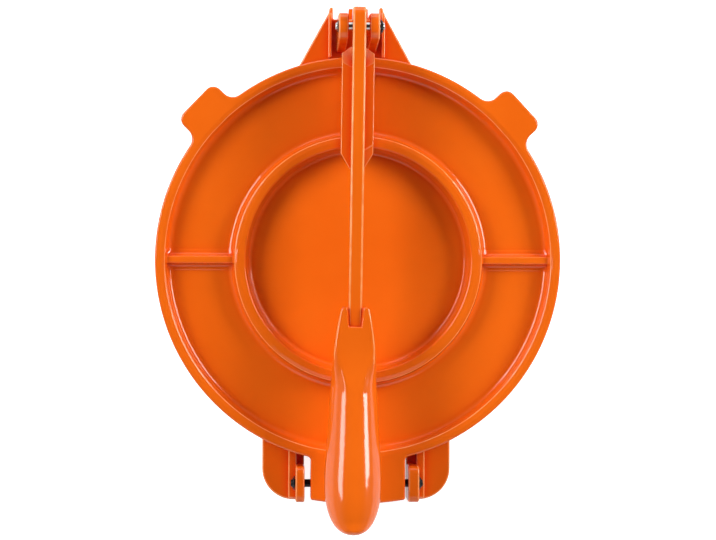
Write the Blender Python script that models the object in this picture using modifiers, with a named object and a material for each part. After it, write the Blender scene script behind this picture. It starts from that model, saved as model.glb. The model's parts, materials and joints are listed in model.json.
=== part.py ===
"""Cast tortilla press: a base, a hinged upper plate and the lever that presses them together.

Metres, +Z up. The origin is on the table, under the middle of the two round plates.
+Y points from the plate hinge towards the lever's pivot, and +X to the right of it.
"""

import math

import bmesh
import bpy
from mathutils import Matrix, Vector

# Facets of round shapes.
plate_facets = 72
pin_facets = 24
arc_steps = 4
knuckle_steps = 16
handle_facets = 24
handle_steps = 9
cam_steps = 8
edge_steps = 3
bevel_angle = math.radians(40)
merge_distance = 0.00001

# Clearances between pieces that touch.
touch_gap = 0.0003
pin_clearance = 0.0003
overrun = 0.0020
sunk = 0.0010

# Round plates, seen from above.
plate_radius = 0.1014
edge_round = 0.0011

# Base casting.
base_inset = 0.0010
base_height = 0.0140
base_floor = 0.0055
skirt_width = 0.0060
skirt_draft = 0.0012
hub_radius = 0.0160
base_rib_count = 4
base_rib_width = 0.0040
base_rib_lift = 0.0031

# Upper plate: trough between rim and ring, and the recess inside the ring.
rim_height = 0.0117
rim_width = 0.0048
trough_floor = 0.0042
recess_floor = 0.0030
ring_outer_radius = 0.0618
ring_width = 0.0050
wall_draft = 0.0008
trough_fillet = 0.0030
recess_fillet = 0.0024
spoke_count = 4
spoke_width = 0.0037
spoke_drop = 0.0010
spoke_draft = 0.0004
spoke_round = 0.0009

# Finger tabs of the upper plate.
tab_angle = math.radians(46.5)
tab_turn = math.radians(-0.5)
tab_width = 0.0256
tab_reach = 0.0121
tab_thickness = 0.0080
tab_corner = 0.0046
tab_root = 0.0060
tab_round = 0.0009
level_step = 0.0002

# Plate hinge at the back.
hinge_reach = 0.0109
hinge_pin_radius = 0.0020
knuckle_radius = 0.0085
tongue_width = 0.0473
tongue_shift = 0.0002
tongue_end = 0.0096
tongue_bow = 0.0020
tongue_round = 0.0016
tongue_corner = 0.0040
hinge_side_gap = 0.0028
hinge_lug_width = 0.0045
hinge_lug_radius = 0.0092
hinge_step_width = 0.0035
hinge_step_height = 0.0130
rear_flange_half_width = 0.0476
rear_flange_height = 0.0085
rear_flange_corner = 0.0157
flange_lift = 0.0020
flange_overlap = 0.0170

# Lever pivot at the front, cast a little to the left of the middle.
front_shift = -0.0004
lever_pin_reach = 0.0131
lever_pin_height = 0.0450
lever_pin_radius = 0.0020
lever_side_gap = 0.0017
lever_lug_width = 0.0048
lever_lug_radius = 0.0066
lever_lug_foot = 0.0032
lever_lug_front = 0.0072
lever_lug_round = 0.0008
prong_height = 0.0100
prong_slot = 0.0019
prong_wall = 0.0025
prong_wall_height = 0.0170
prong_nose = 0.0131
prong_tip = 0.0133
prong_tip_lip = 0.0005
prong_root_half_width = 0.0330
prong_root_depth = 0.0110

# Lever: bar, shoe and handle.
bar_width = 0.0066
bar_over_pin = 0.0070
bar_under_pin = 0.0060
bar_end_depth_share = 0.70
nose_reach = 0.0095
nose_round = 0.0040
bar_bevel = 0.0009
shoe_width = 0.0160
shoe_front = 0.0088
shoe_front_taper = 0.0037
shoe_front_drop = 0.0070
shoe_front_height = 0.0014
shoe_ledge_drop = 0.0028
shoe_facet = 0.0075
shoe_tail = 0.0100
shoe_tail_taper = 0.0080
cam_power_share = 1.6
handle_length = 0.1108
handle_start = 0.0230
handle_front_width = 0.0130
handle_width = 0.0281
handle_end_reach = 0.0170
handle_thickness_share = 0.62
handle_swell_share = 2.2
handle_front_drop = 0.0002
handle_rise = math.radians(9)
lever_lean = math.radians(-0.64)
lever_play = -0.0005

# Push-on clips that keep the pins in.
clip_radius = 0.0036
clip_thickness = 0.0011
pin_end = 0.0009

# Places worked out from the sizes above.
base_radius = plate_radius - base_inset
press_face = base_height + touch_gap
rim_top = press_face + rim_height
ring_contact = ring_outer_radius - ring_width / 2
hinge_y = -(plate_radius + hinge_reach)
hinge_z = rim_top - level_step - knuckle_radius
pivot_y = plate_radius + lever_pin_reach
pivot_z = lever_pin_height
hinge_lug_inner = tongue_width / 2 + hinge_side_gap
hinge_lug_outer = hinge_lug_inner + hinge_lug_width
hinge_step_outer = hinge_lug_outer + hinge_step_width
lever_lug_inner = bar_width / 2 + lever_side_gap
lever_lug_outer = lever_lug_inner + lever_lug_width
prong_wall_inner = lever_lug_outer + prong_slot
prong_wall_outer = prong_wall_inner + prong_wall
prong_slot_end = pivot_y + lever_lug_front
rear_end = hinge_y - hinge_lug_radius
contact_z = rim_top + touch_gap
bar_middle = pivot_z + (bar_over_pin - bar_under_pin) / 2


def collection(name):
    """A new collection in the scene."""
    group = bpy.data.collections.new(name)
    bpy.context.scene.collection.children.link(group)
    return group


def material(name, color, roughness, metallic):
    """A plain material with the colour, roughness and metallic value of a piece."""
    result = bpy.data.materials.new(name)
    result.use_nodes = True
    shader = result.node_tree.nodes["Principled BSDF"]
    shader.inputs["Base Color"].default_value = (*color, 1.0)
    shader.inputs["Roughness"].default_value = roughness
    shader.inputs["Metallic"].default_value = metallic
    return result


def mesh_object(name, work, group):
    """An object in the group from a bmesh, which is freed."""
    mesh = bpy.data.meshes.new(name)
    work.to_mesh(mesh)
    work.free()
    result = bpy.data.objects.new(name, mesh)
    group.objects.link(result)
    return result


def arc(center, radius, start, end, steps=arc_steps):
    """Points of an arc, from the start angle to the end angle in degrees."""
    points = []
    for step in range(steps + 1):
        angle = math.radians(start + (end - start) * step / steps)
        points.append((center[0] + radius * math.cos(angle), center[1] + radius * math.sin(angle)))
    return points


def turned(name, outline, group):
    """A body turned about Z from an outline of radius and height, which runs down its outer side."""
    work = bmesh.new()
    corners = [work.verts.new((radius, 0.0, height)) for radius, height in outline]
    for first, second in zip(corners, corners[1:]):
        work.edges.new((first, second))
    result = mesh_object(name, work, group)
    screw = result.modifiers.new("Turn", "SCREW")
    screw.steps = plate_facets
    screw.render_steps = plate_facets
    screw.use_merge_vertices = True
    screw.merge_threshold = merge_distance
    screw.use_normal_calculate = True
    return result


def slab(name, outline, low, high, group, side_view=False):
    """A flat outline made thick: an XY outline along Z, or in side view a YZ outline along X."""
    curve = bpy.data.curves.new(name, "CURVE")
    curve.dimensions = "2D"
    curve.fill_mode = "BOTH"
    curve.extrude = (high - low) / 2
    spline = curve.splines.new("POLY")
    spline.points.add(len(outline) - 1)
    for point, (first, second) in zip(spline.points, outline):
        point.co = (first, second, 0.0, 1.0)
    spline.use_cyclic_u = True
    drawn = bpy.data.objects.new(name, curve)
    group.objects.link(drawn)
    bpy.context.view_layer.update()
    evaluated = drawn.evaluated_get(bpy.context.evaluated_depsgraph_get())
    mesh = bpy.data.meshes.new_from_object(evaluated)
    bpy.data.objects.remove(drawn)
    if side_view:
        turn = Matrix(((0, 0, 1, 0), (1, 0, 0, 0), (0, 1, 0, 0), (0, 0, 0, 1)))
        shift = Matrix.Translation((low + (high - low) / 2, 0, 0))
    else:
        turn = Matrix.Identity(4)
        shift = Matrix.Translation((0, 0, low + (high - low) / 2))
    work = bmesh.new()
    work.from_mesh(mesh)
    bpy.data.meshes.remove(mesh)
    bmesh.ops.remove_doubles(work, verts=work.verts, dist=merge_distance)
    bmesh.ops.transform(work, matrix=shift @ turn, verts=work.verts)
    bmesh.ops.recalc_face_normals(work, faces=work.faces)
    return mesh_object(name, work, group)


def rod(name, radius, low, high, y, z, group):
    """A round bar along X from low to high, with its axis at y and z."""
    work = bmesh.new()
    bmesh.ops.create_cone(work, cap_ends=True, segments=pin_facets, radius1=radius, radius2=radius,
                          depth=high - low)
    turn = Matrix.Rotation(math.pi / 2, 4, "Y")
    shift = Matrix.Translation((low + (high - low) / 2, y, z))
    bmesh.ops.transform(work, matrix=shift @ turn, verts=work.verts)
    return mesh_object(name, work, group)


def rounded(piece, width, segments=2):
    """Rounds the sharp edges of a piece."""
    bevel = piece.modifiers.new("Round", "BEVEL")
    bevel.width = width
    bevel.segments = segments
    bevel.limit_method = "ANGLE"
    bevel.angle_limit = bevel_angle


def combine(piece, tool, operation):
    """Joins, cuts or meets a piece with a tool, and hides the tool."""
    boolean = piece.modifiers.new(tool.name, "BOOLEAN")
    boolean.operation = operation
    boolean.object = tool
    tool.hide_render = True
    tool.display_type = "WIRE"


def finish(piece, look):
    """Gives a piece its material and smooth round sides."""
    piece.data.materials.clear()
    piece.data.materials.append(look)
    piece.data.shade_smooth()


def mirrored(outline):
    """A closed outline from the points of its right half."""
    return outline + [(-x, y) for x, y in reversed(outline)]


def base_disc(parts):
    """The lower pressing disc with its skirt and its hub, turned about the middle."""
    top = base_height
    under = base_height - base_floor
    outline = [(0.0, top)]
    outline += arc((base_radius - edge_round, top - edge_round), edge_round, 90, 0, edge_steps)
    outline += [(base_radius, 0.0), (base_radius - skirt_width, 0.0)]
    outline += [(base_radius - skirt_width - skirt_draft, under)]
    outline += [(hub_radius + skirt_draft, under), (hub_radius, 0.0), (0.0, 0.0)]
    return turned("base_plate", outline, parts)


def base_ribs(tools):
    """The ribs under the base, from its hub to its skirt."""
    reach = base_radius - skirt_width / 2
    half = base_rib_width / 2
    hub_half = hub_radius / 2
    ribs = []
    for turn in range(base_rib_count):
        outline = [(-half, hub_half), (half, hub_half), (half, reach), (-half, reach)]
        rib = slab(f"base_rib_{turn}", outline, base_rib_lift, base_height - base_floor / 2, tools)
        rib.rotation_euler.z = math.tau * turn / base_rib_count
        ribs.append(rib)
    return ribs


def front_prongs(tools):
    """The floor of the two front prongs, between the plate and the prong tips."""
    root_y = plate_radius - prong_root_depth
    tip_y = pivot_y + prong_tip
    nose_y = pivot_y + prong_nose
    nose_half = lever_lug_inner - touch_gap
    tip_inner = prong_wall_inner - prong_tip_lip
    outline = [(prong_root_half_width, root_y), (prong_wall_outer, tip_y - prong_wall)]
    outline += [(prong_wall_inner + prong_wall / 2, tip_y), (tip_inner, tip_y)]
    outline += [(tip_inner, prong_slot_end), (nose_half, prong_slot_end), (nose_half, nose_y)]
    floor = slab("prong_floor", mirrored(outline), flange_lift, prong_height, tools)
    rounded(floor, edge_round / 2)
    floor.location.x = front_shift
    return floor


def lever_lug(side, tools):
    """One tall lug that carries the lever pin, with a sloping back."""
    foot = prong_height - sunk
    outline = [(plate_radius + lever_lug_foot, foot)]
    outline += [(prong_slot_end, foot)]
    outline += arc((pivot_y, pivot_z), lever_lug_radius, 0, 170, knuckle_steps)
    low, high = sorted((side * lever_lug_inner, side * lever_lug_outer))
    lug = slab(f"lever_lug_{side}", outline, low, high, tools, side_view=True)
    rounded(lug, lever_lug_round)
    lug.location.x = front_shift
    return lug


def prong_web(side, tools):
    """The upright wall beside a front lug."""
    start = plate_radius + 2 * touch_gap
    end = pivot_y + prong_tip - prong_wall
    low, high = sorted((side * (prong_wall_inner + level_step), side * prong_wall_outer))
    outline = [(start, prong_height - sunk), (end, prong_height - sunk)]
    outline += [(end, prong_wall_height - prong_wall), (end - prong_wall, prong_wall_height)]
    outline += [(start, prong_wall_height)]
    web = slab(f"prong_web_{side}", outline, low, high, tools, side_view=True)
    rounded(web, prong_wall / 4)
    web.location.x = front_shift
    return web


def rear_flange(side, tools):
    """One low flange behind the plate, from the hinge lug outwards with a round corner."""
    root_y = -(plate_radius - flange_overlap)
    corner = (rear_flange_half_width - rear_flange_corner, rear_end + rear_flange_corner)
    outline = [(hinge_lug_inner, root_y), (hinge_lug_inner, rear_end)]
    outline += arc(corner, rear_flange_corner, 270, 360, 2 * arc_steps)
    outline += [(rear_flange_half_width, root_y)]
    outline = [(side * x, y) for x, y in outline]
    flange = slab(f"rear_flange_{side}", outline, flange_lift, rear_flange_height, tools)
    rounded(flange, edge_round / 2)
    return flange


def hinge_lug(side, tools):
    """One round lug that carries the hinge pin."""
    foot = rear_flange_height - sunk
    outline = [(rear_end, foot)]
    outline += [(hinge_y + hinge_lug_radius, foot)]
    outline += arc((hinge_y, hinge_z), hinge_lug_radius, 0, 180, knuckle_steps)
    low, high = sorted((side * hinge_lug_inner, side * hinge_lug_outer))
    lug = slab(f"hinge_lug_{side}", outline, low, high, tools, side_view=True)
    rounded(lug, edge_round / 2)
    return lug


def hinge_step(side, tools):
    """The low step that joins a hinge lug to the plate and stands beside it."""
    inner = hinge_lug_inner + sunk / 2
    root_y = -(plate_radius - skirt_width)
    outline = [(inner, root_y), (inner, hinge_y), (hinge_lug_outer - sunk, hinge_y)]
    outline += [(hinge_lug_outer - sunk, rear_end + edge_round), (hinge_step_outer, rear_end + edge_round)]
    outline += [(hinge_step_outer, root_y)]
    outline = [(side * x, y) for x, y in outline]
    return slab(f"hinge_step_{side}", outline, rear_flange_height - sunk, hinge_step_height, tools)


def build_base(parts, tools):
    """The lower casting, with the holes for both pins."""
    base = base_disc(parts)
    for rib in base_ribs(tools):
        combine(base, rib, "UNION")
    combine(base, front_prongs(tools), "UNION")
    for side in (-1, 1):
        combine(base, lever_lug(side, tools), "UNION")
        combine(base, prong_web(side, tools), "UNION")
        combine(base, rear_flange(side, tools), "UNION")
        combine(base, hinge_step(side, tools), "UNION")
        combine(base, hinge_lug(side, tools), "UNION")
    reach = lever_lug_outer + overrun
    hole = lever_pin_radius + pin_clearance
    combine(base, rod("lever_pin_hole", hole, -reach, reach, pivot_y, pivot_z, tools), "DIFFERENCE")
    reach = hinge_lug_outer + overrun
    hole = hinge_pin_radius + pin_clearance
    combine(base, rod("hinge_pin_hole", hole, -reach, reach, hinge_y, hinge_z, tools), "DIFFERENCE")
    return base


def plate_disc(parts):
    """The upper plate's disc with its recess, ring, trough and rim, turned about the middle."""
    recess_z = press_face + recess_floor
    trough_z = press_face + trough_floor
    ring_inner = ring_outer_radius - ring_width
    rim_inner = plate_radius - rim_width
    recess_wall = ring_inner - wall_draft
    ring_foot = ring_outer_radius + wall_draft
    rim_foot = rim_inner - wall_draft
    outline = [(0.0, recess_z)]
    outline += arc((recess_wall - recess_fillet, recess_z + recess_fillet), recess_fillet, 270, 360)
    outline += arc((ring_inner + edge_round, rim_top - edge_round), edge_round, 180, 90, edge_steps)
    outline += arc((ring_outer_radius - edge_round, rim_top - edge_round), edge_round, 90, 0, edge_steps)
    outline += arc((ring_foot + trough_fillet, trough_z + trough_fillet), trough_fillet, 180, 270)
    outline += arc((rim_foot - trough_fillet, trough_z + trough_fillet), trough_fillet, 270, 360)
    outline += arc((rim_inner + edge_round, rim_top - edge_round), edge_round, 180, 90, edge_steps)
    outline += arc((plate_radius - edge_round, rim_top - edge_round), edge_round, 90, 0, edge_steps)
    outline += [(plate_radius - wall_draft / 2, press_face), (0.0, press_face)]
    return turned("upper_plate", outline, parts)


def spoke(turn, tools):
    """One spoke from the ring to the rim, a little lower than both, with sides that lean."""
    top_half = spoke_width / 2
    foot_half = top_half + spoke_draft
    top = rim_top - spoke_drop
    foot = press_face + recess_floor
    outline = [(-foot_half, foot), (foot_half, foot)]
    outline += arc((top_half - spoke_round, top - spoke_round), spoke_round, 0, 90, edge_steps)
    outline += arc((spoke_round - top_half, top - spoke_round), spoke_round, 90, 180, edge_steps)
    start = ring_contact
    end = plate_radius - rim_width / 2
    result = slab(f"spoke_{turn}", outline, start, end, tools, side_view=True)
    result.rotation_euler.z = math.tau * turn / spoke_count
    return result


def finger_tab(side, tools):
    """One finger tab: straight sides, round outer corners and hollow roots on the rim."""
    half = tab_width / 2
    outer = plate_radius + tab_reach
    root_x = half + tab_root
    root_y = math.sqrt((plate_radius + tab_root) ** 2 - root_x ** 2)
    rim_turn = math.degrees(math.atan2(-root_y, -root_x))
    inner = (plate_radius - rim_width / 2) / plate_radius
    hollow = arc((root_x, root_y), tab_root, rim_turn + 360, 180)
    outline = [(hollow[0][0] * inner, hollow[0][1] * inner)]
    outline += hollow
    outline += arc((half - tab_corner, outer - tab_corner), tab_corner, 0, 90)
    top = rim_top - level_step
    tab = slab(f"finger_tab_{side}", mirrored(outline), top - tab_thickness, top, tools)
    tab.rotation_euler.z = side * tab_angle + tab_turn
    rounded(tab, tab_round)
    return tab


def hinge_tongue(tools):
    """The tongue behind the rim: flat above, round about the hinge pin below, with a bowed end."""
    root_y = -(plate_radius - rim_width / 2)
    top = rim_top - level_step
    bottom = hinge_z - knuckle_radius
    end = hinge_y - tongue_end
    drop = hinge_z - press_face
    first = -math.degrees(math.asin(drop / knuckle_radius))
    outline = [(root_y, press_face + level_step)]
    outline += arc((hinge_y, hinge_z), knuckle_radius, first, -90, knuckle_steps)
    outline += arc((end + tongue_corner, bottom + tongue_corner), tongue_corner, 270, 180)
    outline += arc((end + tongue_round, top - tongue_round), tongue_round, 180, 90, edge_steps)
    outline += [(root_y, top)]
    half = tongue_width / 2
    wide = half + overrun
    tongue = slab("hinge_tongue", outline, -wide, wide, tools, side_view=True)
    bow_radius = (half ** 2 + tongue_bow ** 2) / (2 * tongue_bow)
    turn = math.degrees(math.asin(half / bow_radius))
    plan = arc((0, end + bow_radius), bow_radius, 270 - turn, 270 + turn, knuckle_steps)
    plan += [(half, root_y + overrun), (-half, root_y + overrun)]
    cut = slab("tongue_plan", plan, bottom - overrun, top + overrun, tools)
    cut.location.x = tongue_shift
    combine(tongue, cut, "INTERSECT")
    return tongue


def build_upper_plate(parts, tools):
    """The upper casting, with the hole for the hinge pin."""
    plate = plate_disc(parts)
    for turn in range(spoke_count):
        combine(plate, spoke(turn, tools), "UNION")
    for side in (-1, 1):
        combine(plate, finger_tab(side, tools), "UNION")
    combine(plate, hinge_tongue(tools), "UNION")
    reach = tongue_width / 2 + overrun
    hole = hinge_pin_radius + pin_clearance
    combine(plate, rod("tongue_hole", hole, -reach, reach, hinge_y, hinge_z, tools), "DIFFERENCE")
    return plate


def lever_bar(parts):
    """The lever's bar in side view, from the round nose to its end inside the handle."""
    top = pivot_z + bar_over_pin
    under = pivot_z - bar_under_pin
    nose = pivot_y + nose_reach
    end = -(handle_start + handle_front_width)
    end_half = bar_end_depth_share * (top - under) / 2
    outline = [(end, bar_middle - end_half)]
    outline += arc((nose - nose_round, under + nose_round), nose_round, 270, 360)
    outline += arc((nose - nose_round, top - nose_round), nose_round, 0, 90)
    outline += [(end, bar_middle + end_half)]
    half = bar_width / 2
    bar = slab("lever", outline, -half, half, parts, side_view=True)
    rounded(bar, bar_bevel)
    return bar


def lever_shoe(tools):
    """The wide shoe under the bar: a rounded cam below, and ends that narrow to the bar."""
    front = pivot_y - shoe_front
    tail = ring_contact - ring_width - shoe_tail
    front_z = pivot_z - shoe_front_drop
    ledge_z = pivot_z - shoe_ledge_drop
    under = []
    for step in range(cam_steps + 1):
        share = step / cam_steps
        y = front + (ring_contact - front) * share
        z = contact_z + (front_z - contact_z) * (1 - share) ** cam_power_share
        under.append((y, z))
    outline = under + [(ring_contact - ring_width, contact_z + ring_width / 8)]
    outline += [(tail, pivot_z - bar_under_pin), (tail, ledge_z)]
    outline += [(front - shoe_facet, ledge_z), (front, front_z + shoe_front_height)]
    half = shoe_width / 2
    shoe = slab("lever_shoe", outline, -half, half, tools, side_view=True)
    bar_half = bar_width / 2
    plan = [(bar_half - sunk, front + sunk), (half, front - shoe_front_taper)]
    plan += [(half, tail + shoe_tail_taper), (bar_half - sunk, tail - sunk)]
    low = contact_z - overrun
    combine(shoe, slab("shoe_plan", mirrored(plan), low, pivot_z, tools), "INTERSECT")
    return shoe


def lever_handle(tools):
    """The oval handle, turned from its half width and then flattened."""
    front_half = handle_front_width / 2
    full_half = handle_width / 2
    grip = handle_length - handle_end_reach
    outline = [(0.0, 0.0)]
    for step in range(handle_steps + 1):
        share = step / handle_steps
        swell = 1 - (1 - share) ** handle_swell_share
        outline.append((front_half + (full_half - front_half) * swell, -grip * share))
    for step in range(1, handle_steps):
        angle = math.pi / 2 * step / handle_steps
        end = handle_end_reach * math.sin(angle)
        outline.append((full_half * math.cos(angle), -grip - end))
    outline.append((0.0, -handle_length))
    handle = turned("lever_handle", outline, tools)
    screw = handle.modifiers["Turn"]
    screw.steps = handle_facets
    screw.render_steps = handle_facets
    handle.location = (0, -handle_start, bar_middle - handle_front_drop)
    handle.rotation_euler.x = -math.pi / 2 - handle_rise
    handle.scale = (1, handle_thickness_share, 1)
    return handle


def build_lever(parts, tools):
    """The lever, with the hole for its pin, leaning to one side by the play of its pivot."""
    lever = lever_bar(parts)
    combine(lever, lever_shoe(tools), "UNION")
    combine(lever, lever_handle(tools), "UNION")
    reach = bar_width / 2 + overrun
    hole = lever_pin_radius + pin_clearance
    combine(lever, rod("lever_hole", hole, -reach, reach, pivot_y, pivot_z, tools), "DIFFERENCE")
    return lever


def pin(name, radius, lug_outer, place, parts):
    """A pin along X that reaches past the clips on both sides."""
    shift, y, z = place
    reach = lug_outer + touch_gap + clip_thickness + pin_end
    result = rod(name, radius, shift - reach, shift + reach, y, z, parts)
    rounded(result, radius / 5, 1)
    return result


def clip(name, side, pin_radius, lug_outer, place, parts, tools):
    """A push-on clip on a pin's end, next to the outside of a lug."""
    shift, y, z = place
    near = lug_outer + touch_gap
    far = near + clip_thickness
    low, high = sorted((shift + side * near, shift + side * far))
    result = rod(name, clip_radius, low, high, y, z, parts)
    hole = rod(name + "_hole", pin_radius + pin_clearance, low - overrun, high + overrun, y, z, tools)
    combine(result, hole, "DIFFERENCE")
    return result


def hang_on(name, place, shift, lean, pieces, group):
    """An empty on a joint's axis that carries a moving piece and its tools, shifted along the axis."""
    axis = bpy.data.objects.new(name, None)
    axis.location = place
    axis.location.x += shift
    axis.rotation_euler.z = lean
    group.objects.link(axis)
    for piece in pieces:
        piece.parent = axis
        piece.matrix_parent_inverse = Matrix.Translation(-Vector(place))


def main():
    for old in list(bpy.data.objects):
        bpy.data.objects.remove(old)
    parts = collection("tortilla_press")
    tools = collection("tools")

    orange = material("orange_enamel", (0.83, 0.115, 0.006), 0.25, 0.0)
    steel = material("pin_steel", (0.62, 0.62, 0.60), 0.3, 1.0)
    black = material("black_steel", (0.02, 0.02, 0.022), 0.4, 1.0)

    lever_tools = collection("lever_tools")
    finish(build_base(parts, tools), orange)
    plate = build_upper_plate(parts, tools)
    finish(plate, orange)
    hang_on("plate_hinge", (0, hinge_y, hinge_z), 0, 0, [plate], parts)
    lever = build_lever(parts, lever_tools)
    finish(lever, orange)
    hang_on("lever_pivot", (0, pivot_y, pivot_z), front_shift + lever_play, lever_lean,
            [lever, *lever_tools.objects], parts)

    pins = (
        ("lever_pin", lever_pin_radius, lever_lug_outer, (front_shift, pivot_y, pivot_z), steel),
        ("hinge_pin", hinge_pin_radius, hinge_lug_outer, (0, hinge_y, hinge_z), black),
    )
    for name, radius, lug_outer, place, look in pins:
        finish(pin(name, radius, lug_outer, place, parts), look)
        for side, word in ((-1, "left"), (1, "right")):
            finish(clip(f"{name}_clip_{word}", side, radius, lug_outer, place, parts, tools), black)


main()
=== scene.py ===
"""The looks of a cast tortilla press: three enamelled castings, two pins and their clips.

Metres, +Z up, in the CAD model's frame. +Y points from the plate hinge to the lever's pivot. The
photograph looks down on the press from above.
"""

import json
import math

import bmesh
import bpy
import numpy as np
from mathutils import Matrix, Vector


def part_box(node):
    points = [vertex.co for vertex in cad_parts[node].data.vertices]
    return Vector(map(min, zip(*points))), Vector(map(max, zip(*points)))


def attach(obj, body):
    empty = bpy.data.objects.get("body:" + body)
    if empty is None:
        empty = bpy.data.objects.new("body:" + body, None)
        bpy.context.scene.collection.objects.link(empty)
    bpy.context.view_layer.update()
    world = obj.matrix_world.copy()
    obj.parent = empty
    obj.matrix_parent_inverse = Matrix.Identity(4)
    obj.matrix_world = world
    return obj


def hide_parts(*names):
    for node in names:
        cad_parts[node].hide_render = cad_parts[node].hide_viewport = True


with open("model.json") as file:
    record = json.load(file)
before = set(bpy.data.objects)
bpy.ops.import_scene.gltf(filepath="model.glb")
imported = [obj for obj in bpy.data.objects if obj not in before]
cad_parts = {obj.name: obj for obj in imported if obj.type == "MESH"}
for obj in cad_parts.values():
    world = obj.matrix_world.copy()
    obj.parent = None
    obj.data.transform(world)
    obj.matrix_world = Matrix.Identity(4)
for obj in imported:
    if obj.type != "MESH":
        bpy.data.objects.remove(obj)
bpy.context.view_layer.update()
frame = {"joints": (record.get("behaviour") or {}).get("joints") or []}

joint_at = {joint["name"]: Vector(joint["pos_m"]) for joint in frame["joints"]}
pivot = joint_at["lever_pivot"]
hinge = joint_at["plate_hinge"]
base_low, base_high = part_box("base_plate")
plate_low, plate_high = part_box("upper_plate")
lever_low, lever_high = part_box("lever")
pin_low, pin_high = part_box("lever_pin")
hinge_pin_low, hinge_pin_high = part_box("hinge_pin")

# Facets.
turn_step = math.radians(1.25)
path_step = math.radians(15)
smooth_angle = math.radians(35)
arc_steps = 6
small_steps = 4
dome_steps = 5
nose_steps = 8
knuckle_steps = 10
bow_steps = 12
lug_steps = 14
wide_steps = 24
spoke_steps = 30
pin_facets = 40
clip_facets = 80
section_facets = 960
rod_face_share = 0.35
floor_start_share = 0.3

# Round plates.
base_inset = 0.0010
plate_radius = base_high.x + base_inset
base_radius = base_high.x
base_height = 0.0140
plate_gap = 0.0003
press_face = base_height + plate_gap
rim_top = plate_high.z
edge_round = 0.0011

# Upper plate.
rim_width = 0.0050
trough_floor = press_face + 0.0042
recess_floor = press_face + 0.0030
ring_outer = 0.0618
ring_width = 0.0054
wall_draft = 0.0013
recess_draft = 0.0020
trough_fillet = 0.0032
recess_fillet = 0.0022
floor_sag = 0.0002
side_draft = 0.0002
side_foot_round = 0.0005
band_width = 0.0022
band_slope = math.radians(16)
crease_round = 0.0030

# Spokes of the upper plate.
spoke_count = 4
spoke_half = 0.00185
spoke_drop = 0.0026
spoke_lean = 0.0004
spoke_round = 0.0007
spoke_foot = 0.0024
spoke_blend = 0.0012
skin_lift = 0.00002
# Slopes of the plate's rounded edges that get a painted highlight.
highlight_slope_least = math.radians(25)
highlight_slope_most = math.radians(62)

# Finger tabs.
tab_angle = math.radians(46.5)
tab_turn = math.radians(-0.5)
tab_half = 0.0128
tab_reach = 0.0121
tab_thickness = 0.0082
tab_corner = 0.0046
tab_root = 0.0060

# Tongue and plate hinge.
tongue_half = 0.02365
tongue_shift = 0.0002
tongue_end = -plate_low.y
tongue_bow = 0.0020
tongue_corner = 0.0011
tongue_root = 0.0022
knuckle_radius = 0.0085
knuckle_corner = 0.0040
knuckle_inset = 0.00012
knuckle_round = 0.0008

# Lever, before it leans: bar, shoe and handle.
pin_offset = 0.0005
front_middle = (pin_low.x + pin_high.x) / 2 - pin_offset
lever_lean = math.radians(-0.64)
bar_half = 0.0033
bar_over = 0.0070
bar_under = 0.0060
bar_end_half = 0.00455
bar_bevel = 0.0010
bar_overlap = 0.0130
nose_reach = 0.0095
nose_round = 0.0040
shoe_half = 0.0080
shoe_front = 0.0088
shoe_front_taper = 0.0037
shoe_front_low = 0.0122
# How far a shoe face must lean forward and up to get a painted reflection.
facet_highlight_least = 0.25
shoe_front_edge = 0.0112
ledge_drop = 0.0028
ledge_front_inner = 0.0195
ledge_front_outer = 0.0170
ledge_back_inner = 0.0605
ledge_back_outer = 0.0577
shoe_tail_inner = 0.0702
shoe_tail_outer = 0.0622
shoe_tail_drop = 0.0022
shoe_round = 0.0007
contact_gap = 0.0003
contact_reach = pivot.y - (ring_outer - ring_width / 2)
cam_power = 1.6
cam_steps = 16
handle_start = 0.0230
handle_length = 0.1100
handle_full_at = 0.0830
# Pairs of a distance from the handle's front and half the width there.
handle_widths = ((0.0, 0.0069), (0.0115, 0.0091), (0.0213, 0.0103), (0.0311, 0.0109), (0.0458, 0.0118),
                 (0.0600, 0.0126), (0.0700, 0.0133), (0.0830, 0.0140))
handle_top_share = 0.62
handle_under_share = 0.16
handle_drop_share = 0.46
handle_under_power = 2.6
handle_flat_power = 14
handle_flat_end = 0.038
handle_flat_start = 0.018
handle_slope = math.tan(math.radians(11))
handle_bend_start = 0.015
handle_bend_length = 0.020
horn_inner_share = 0.66
horn_root_share = 0.34
horn_round_share = 0.85
horn_round = 0.0014
# How square the handle's front must be, and how near its corners, for a painted highlight line.
highlight_power = 5
corner_share = 0.9
handle_low = 0.0002
handle_notch = 0.0095
handle_edge = 0.0009
handle_end_power = 2.5
handle_columns = 160
handle_steps = 36
handle_end_steps = 20
middle_height = (bar_over - bar_under) / 2

# Base casting.
skirt_width = 0.0060
skirt_draft = 0.0012
base_floor = 0.0055
hub_radius = 0.0160
rib_half = 0.0020
rib_lift = 0.0031
disc_facets = 180
flange_low = 0.0020
cast_round = 0.0008
web_round = 0.00078

# Front prongs with the lever's lugs.
prong_top = 0.0100
lug_inner = 0.0052
lug_outer = 0.0101
lug_round_radius = 0.0066
lug_crown = 0.0042
nose_shift = 0.0012
lug_front = 0.0072
lug_foot = 0.0032
web_inner = 0.0126
web_outer = 0.0142
web_top = 0.0170
prong_slot_inner = 0.0117
prong_tip = 0.0133
prong_nose = 0.0131
prong_nose_top = 0.0045
prong_root_half = 0.0330
prong_root_depth = 0.0110
pin_hole_share = 1.15

# Pins and their push-on clips.
pin_dome_share = 0.45
groove_inset = 0.0012
groove_width = 0.0005
groove_depth = 0.0001
clip_play = 0.0001
clip_bend_share = 0.45
clip_edge = 0.00012
clip_sheet = 0.00045
clip_teeth = 6
clip_gap_share = 0.22

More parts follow.
